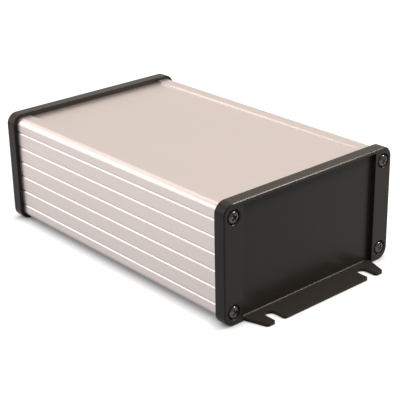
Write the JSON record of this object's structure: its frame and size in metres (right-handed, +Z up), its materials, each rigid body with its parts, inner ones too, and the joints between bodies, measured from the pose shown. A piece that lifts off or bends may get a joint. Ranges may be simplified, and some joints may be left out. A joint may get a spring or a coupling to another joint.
{
  "type": "extruded aluminium enclosure",
  "caption": "Long rectangular instrument case: a satin silver aluminium extrusion with grooved sides, black end bezels and black end panels folded out into slotted mounting flanges.",
  "frame": {"origin": "centre of the bounding box in plan, on the plane of the flange and bezel undersides", "axes": "+X across the width, +Y along the extrusion from the front end to the rear end, +Z up"},
  "size_m": [0.1076, 0.1904, 0.0587],
  "materials": {
    "anodised_aluminium": "satin clear anodised",
    "bezel_plastic": "black, fine moulded texture",
    "black_sheet": "black powder coat",
    "gasket_rubber": "matt",
    "black_screw": "black zinc, slightly shiny"
  },
  "bodies": {
    "root": {"body_extrusion": "anodised_aluminium", "front_bezel": "bezel_plastic", "rear_bezel": "bezel_plastic", "front_end_panel": "black_sheet", "rear_end_panel": "black_sheet", "front_gasket": "gasket_rubber", "rear_gasket": "gasket_rubber", "front_screw_top_left": "black_screw", "front_screw_top_right": "black_screw", "front_screw_bottom_left": "black_screw", "front_screw_bottom_right": "black_screw", "rear_screw_top_left": "black_screw", "rear_screw_top_right": "black_screw", "rear_screw_bottom_left": "black_screw", "rear_screw_bottom_right": "black_screw"}
  },
  "joints": []
}
